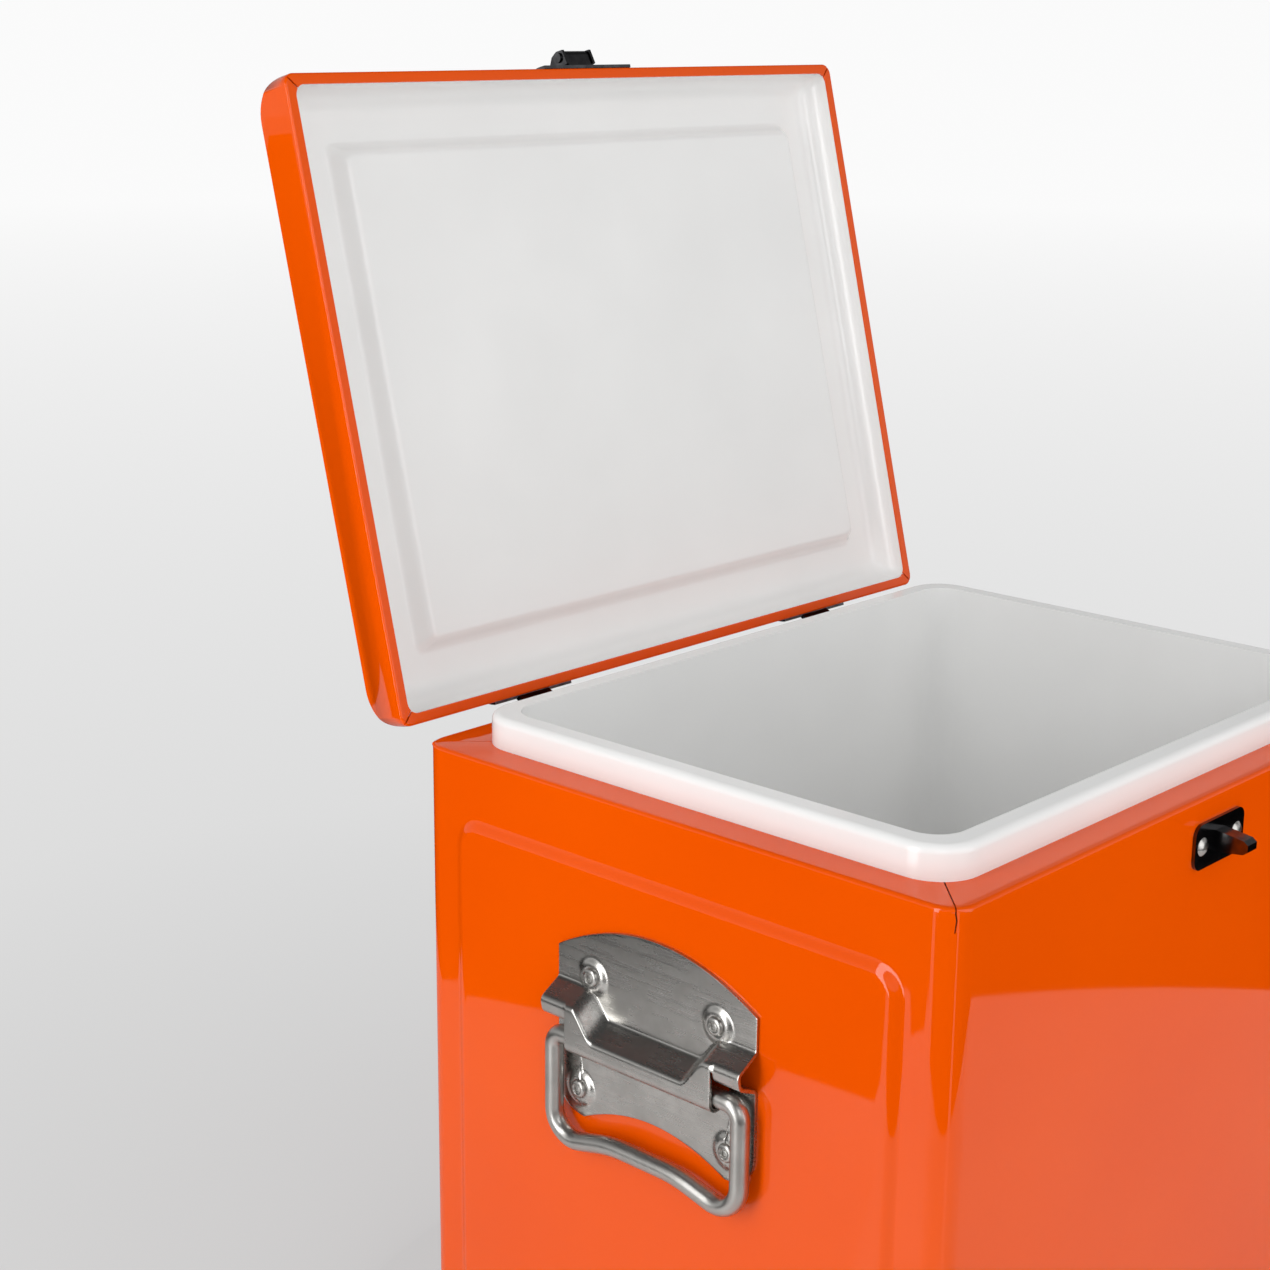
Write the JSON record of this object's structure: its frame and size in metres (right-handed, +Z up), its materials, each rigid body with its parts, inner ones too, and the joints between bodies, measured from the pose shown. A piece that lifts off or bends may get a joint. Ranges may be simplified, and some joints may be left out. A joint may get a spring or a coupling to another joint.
{
  "type": "cooler",
  "caption": "Steel ice chest with a rear-hinged insulated lid, moulded plastic liner, drop handles on both ends, a front hasp and a side drain.",
  "frame": {"origin": "on the floor, under the middle of the cabinet's footprint", "axes": "+Z up, +X towards the end with the drain, -Y towards the front with the hasp's keeper"},
  "size_m": [0.4046, 0.4226, 0.6467],
  "materials": {
    "orange_paint": "gloss enamel",
    "white_plastic": "smooth moulded",
    "stainless": "brushed",
    "dark_chrome": "bright, dark plated",
    "zinc_steel": "galvanised",
    "black_rubber": "matte",
    "drain_plastic": "smooth",
    "foam": "rigid foam"
  },
  "bodies": {
    "cabinet": {"body_shell": "orange_paint", "bottom_pan": "zinc_steel", "body_insulation": "foam", "inner_liner": "white_plastic", "foot_front_left": "black_rubber", "foot_front_right": "black_rubber", "foot_rear_left": "black_rubber", "foot_rear_right": "black_rubber", "foot_screws": "zinc_steel", "left_handle_plate": "stainless", "left_handle_rivets": "stainless", "right_handle_plate": "stainless", "right_handle_rivets": "stainless", "left_hinge_body_leaf": "dark_chrome", "left_hinge_pin": "dark_chrome", "right_hinge_body_leaf": "dark_chrome", "right_hinge_pin": "dark_chrome", "hinge_body_rivets": "stainless", "keeper": "dark_chrome", "keeper_rivets": "stainless", "drain_spout": "drain_plastic", "drain_gasket": "black_rubber", "drain_nut": "drain_plastic"},
    "lid": {"lid_shell": "orange_paint", "lid_liner": "white_plastic", "lid_insulation": "foam", "left_hinge_lid_leaf": "dark_chrome", "right_hinge_lid_leaf": "dark_chrome", "hinge_lid_rivets": "stainless", "hasp_base": "dark_chrome", "hasp_base_rivets": "stainless", "hasp_pin": "dark_chrome"},
    "hasp": {"hasp": "dark_chrome"},
    "left_bail": {"left_handle_bail": "stainless"},
    "right_bail": {"right_handle_bail": "stainless"},
    "drain_plug": {"drain_plug": "drain_plastic"}
  },
  "joints": [
    {"name": "lid_hinge", "type": "hinge", "parent": "cabinet", "child": "lid", "pos_m": [0, 0.15, 0.3535], "axis": [1, 0, 0], "range_deg": [0, 104]},
    {"name": "hasp_hinge", "type": "hinge", "parent": "lid", "child": "hasp", "pos_m": [0, 0.23423, 0.64283], "axis": [1, 0, 0], "range_deg": [0, 195]},
    {"name": "left_bail_hinge", "type": "hinge", "parent": "cabinet", "child": "left_bail", "pos_m": [-0.1965, 0, 0.2505], "axis": [0, 1, 0], "range_deg": [0, 110]},
    {"name": "right_bail_hinge", "type": "hinge", "parent": "cabinet", "child": "right_bail", "pos_m": [0.1965, 0, 0.2505], "axis": [0, -1, 0], "range_deg": [0, 110]},
    {"name": "drain_plug_slide", "type": "slide", "parent": "cabinet", "child": "drain_plug", "axis": [1, 0, 0], "range_m": [0, 0.018]}
  ]
}
